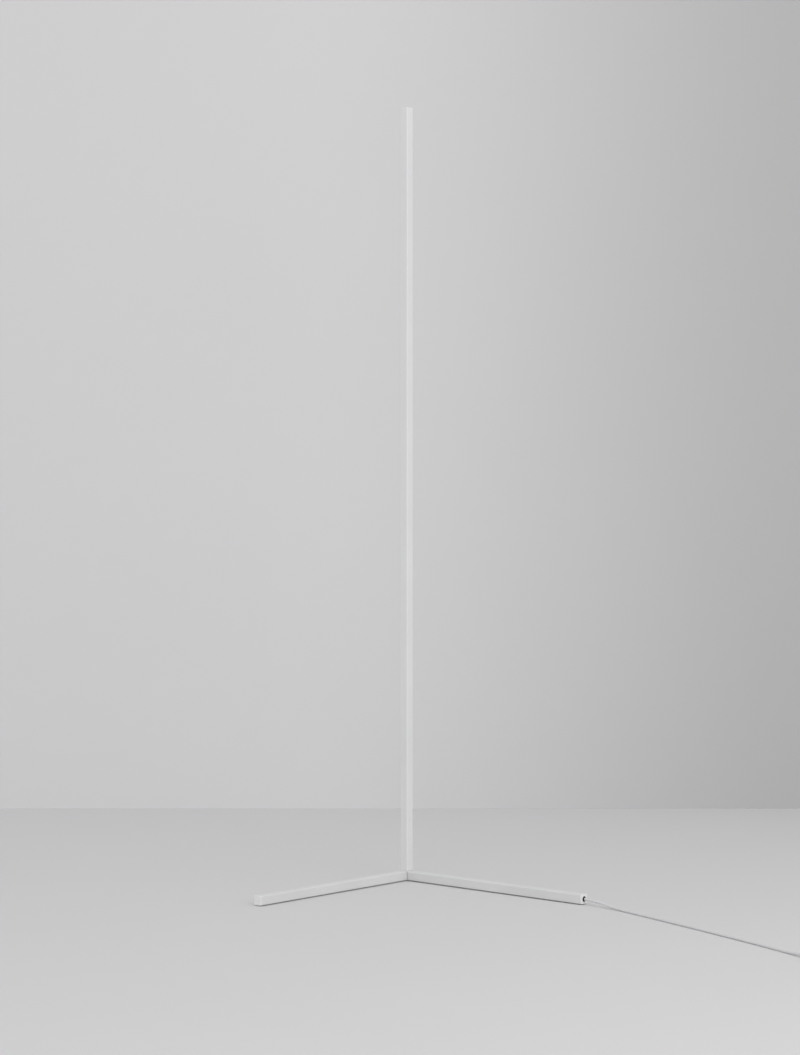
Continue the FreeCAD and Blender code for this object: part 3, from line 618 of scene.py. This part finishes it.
# switch: ribs on the bend reliefs and rings on the button
switchRibs = {"count": 7, "step": 0.0026, "start": 0.0035, "thick": 0.00452, "thin": 0.00368, "bead": 0.085}
buttonRings = {"count": 4, "first": 0.0024, "last": 0.0084, "bead": 0.0003, "height": 0.0195, "sides": 64}
lineTurn = Matrix.Rotation(math.radians(switchLine["heading"]), 4, "Z")
for side, label in ((-1, "Lamp"), (1, "Plug")):
    end = switchLine["length"] if side > 0 else 0.0
    x, y, z = onCordLine(end + side * switchRibs["start"], 0.0, switchLine["height"])
    axis = Matrix.Rotation(math.radians(90.0 * side), 4, "Y")
    growPiece("sleeveRibs" + label, ringRow,
              {"Count": switchRibs["count"], "Step": switchRibs["step"], "First Radius": switchRibs["thick"],
               "Last Radius": switchRibs["thin"], "Bead": switchRibs["bead"]},
              Matrix.Translation((x, y, z)) @ lineTurn @ axis, plugPvc)
x, y, z = onCordLine(switchLine["length"] / 2, 0.0, buttonRings["height"])
for k in range(buttonRings["count"]):
    share = k / (buttonRings["count"] - 1)
    radius = buttonRings["first"] + (buttonRings["last"] - buttonRings["first"]) * share
    growPiece("buttonRing%d" % (k + 1), ringRow,
              {"Count": 1, "Step": 0.0, "First Radius": radius, "Last Radius": radius,
               "Bead": buttonRings["bead"] / radius, "Sides": buttonRings["sides"]},
              Matrix.Translation((x, y, z)), buttonPlastic, "button")
print("switch dressed")

# plug: ribs where fingers hold it, and rings on its boot
plugGrip = {
    "ribs": 6,
    "pitch": 0.0026,
    "size": (0.0011, 0.014, 0.0006),
    "edge": 0.0002,
    "from": 0.035,  # from the cord's end
    "halfHeight": 0.00685,
    "seat": 0.995,  # the ribs' middle sits just under the plug's face
}
bootGrip = {"rings": 7, "step": 0.0027, "start": 0.0025, "thin": 0.00362, "thick": 0.0044, "bead": 0.09}
plugEnd = coilRoute()[-1]
plugTurn = Matrix.Rotation(math.radians(switchLine["heading"] + 180.0), 4, "Z")
plugPlace = Matrix.Translation(plugEnd) @ plugTurn
for side, label in ((-1, "Under"), (1, "Top")):
    ribHeight = side * plugGrip["halfHeight"] * plugGrip["seat"]
    growPiece("plugRibs" + label, blockRow,
              {"Count": plugGrip["ribs"], "Step": (plugGrip["pitch"], 0.0, 0.0), "Size": plugGrip["size"]},
              plugPlace @ Matrix.Translation((plugGrip["from"], 0.0, ribHeight)),
              plugPvc, bevel=plugGrip["edge"])
alongPlug = Matrix.Rotation(math.radians(90.0), 4, "Y")  # from Z to the plug's own length
bootPlace = Matrix.Translation((bootGrip["start"], 0.0, 0.0)) @ alongPlug
growPiece("bootRings", ringRow,
          {"Count": bootGrip["rings"], "Step": bootGrip["step"], "First Radius": bootGrip["thin"],
           "Last Radius": bootGrip["thick"], "Bead": bootGrip["bead"]},
          plugPlace @ bootPlace, plugPvc)
print("plug dressed")

# room: a plain pale floor and a pale backdrop with painted shade towards its right, the backdrop square to
# the camera
room = {
    "size": 14.0,
    "wallBehind": 6.507,  # metres from the camera
    "wallHeight": 5.0,
    "floorColour": (0.65, 0.65, 0.655),
    "wallColour": (0.70, 0.70, 0.707),
    "shadedShare": 0.70,  # share of the wall's colour on its right side, as painted shade
    "shadeFrom": -0.3,  # metres to the right of the lamp
    "shadeEnd": 1.25,
    "turn": -41.77,  # degrees, from the lamp's axes to the wall's
    "mottleScale": 1.4,
    "mottleShade": 0.99,
    "specular": 0.2,
    "floorRoughness": 0.7,
    "wallRoughness": 0.9,
}


def roomFinish(name, colour, roughness, paintsShade):
    material, tree, shader = newFinish(name)
    darker = tuple(channel * room["mottleShade"] for channel in colour)
    tone = twoTone(tree, surfaceNoise(tree, room["mottleScale"], 2.0), darker, colour)
    if paintsShade:
        # painted shade: one soft fall from the wall's colour on the left to a darker share on the right
        place = tree.nodes.new("ShaderNodeTexCoord")
        mapping = tree.nodes.new("ShaderNodeMapping")
        mapping.inputs["Rotation"].default_value = (0.0, 0.0, math.radians(room["turn"]))
        axes = tree.nodes.new("ShaderNodeSeparateXYZ")
        paintedShade = tree.nodes.new("ShaderNodeMapRange")
        paintedShade.interpolation_type = "SMOOTHSTEP"
        paintedShade.inputs["From Min"].default_value = room["shadeFrom"]
        paintedShade.inputs["From Max"].default_value = room["shadeEnd"]
        paintedShade.inputs["To Min"].default_value = 1.0
        paintedShade.inputs["To Max"].default_value = room["shadedShare"]
        shaded = tree.nodes.new("ShaderNodeVectorMath")
        shaded.operation = "SCALE"
        tree.links.new(place.outputs["Object"], mapping.inputs["Vector"])
        tree.links.new(mapping.outputs["Vector"], axes.inputs["Vector"])
        tree.links.new(axes.outputs["X"], paintedShade.inputs["Value"])
        tree.links.new(tone, shaded.inputs["Vector"])
        tree.links.new(paintedShade.outputs["Result"], shaded.inputs["Scale"])
        tone = shaded.outputs["Vector"]
        # the backdrop has one side, so it hides nothing from behind
        facing = tree.nodes.new("ShaderNodeNewGeometry")
        clear = tree.nodes.new("ShaderNodeBsdfTransparent")
        oneSided = tree.nodes.new("ShaderNodeMixShader")
        tree.links.new(facing.outputs["Backfacing"], oneSided.inputs[0])
        tree.links.new(shader.outputs["BSDF"], oneSided.inputs[1])
        tree.links.new(clear.outputs["BSDF"], oneSided.inputs[2])
        tree.links.new(oneSided.outputs["Shader"], tree.nodes["Material Output"].inputs["Surface"])
    tree.links.new(tone, shader.inputs["Base Color"])
    shader.inputs["Roughness"].default_value = roughness
    shader.inputs["Specular IOR Level"].default_value = room["specular"]
    return material


def roomPlane(name, corners, material):
    mesh = bpy.data.meshes.new(name)
    mesh.from_pydata([tuple(c) for c in corners], [], [(0, 1, 2, 3)])
    plane = bpy.data.objects.new(name, mesh)
    scene.collection.objects.link(plane)
    setFinish(plane, material)


eye, ahead = Vector(cameraSetup["place"]), Vector(cameraSetup["heading"]).normalized()
aside = Vector((ahead.y, -ahead.x, 0.0))
foot = Vector((eye.x, eye.y, 0.0)) + ahead * room["wallBehind"]
half, wallTop = room["size"] / 2, Vector((0.0, 0.0, room["wallHeight"]))
floorFinish = roomFinish("floorFinish", room["floorColour"], room["floorRoughness"], False)
wallFinish = roomFinish("wallFinish", room["wallColour"], room["wallRoughness"], True)
roomPlane("floor", [foot + aside * half + ahead * half, foot - aside * half + ahead * half,
                    foot - aside * half - ahead * room["size"],
                    foot + aside * half - ahead * room["size"]], floorFinish)
roomPlane("wall", [foot - aside * half, foot + aside * half, foot + aside * half + wallTop,
                   foot - aside * half + wallTop], wallFinish)

# light: a soft key from the right and an even world
studioGlow = {"colour": (0.985, 0.98, 0.982), "strength": 0.98}
keyLight = {"from": (3.3, -0.9, 1.8), "target": (0.1, -0.1, 0.6), "size": 2.0, "power": 23.0}
lampData = bpy.data.lights.new("key", "AREA")
lampData.shape, lampData.size, lampData.energy = "SQUARE", keyLight["size"], keyLight["power"]
lamp = bpy.data.objects.new("key", lampData)
lamp.location = keyLight["from"]
lamp.rotation_euler = (Vector(keyLight["target"]) - lamp.location).to_track_quat("-Z", "Y").to_euler()
scene.collection.objects.link(lamp)
world = bpy.data.worlds.new("studio")
world.use_nodes = True
background = world.node_tree.nodes["Background"]
background.inputs["Color"].default_value = (*studioGlow["colour"], 1.0)
background.inputs["Strength"].default_value = studioGlow["strength"]
scene.world = world
scene.view_settings.view_transform = "Standard"
print("room and light set")
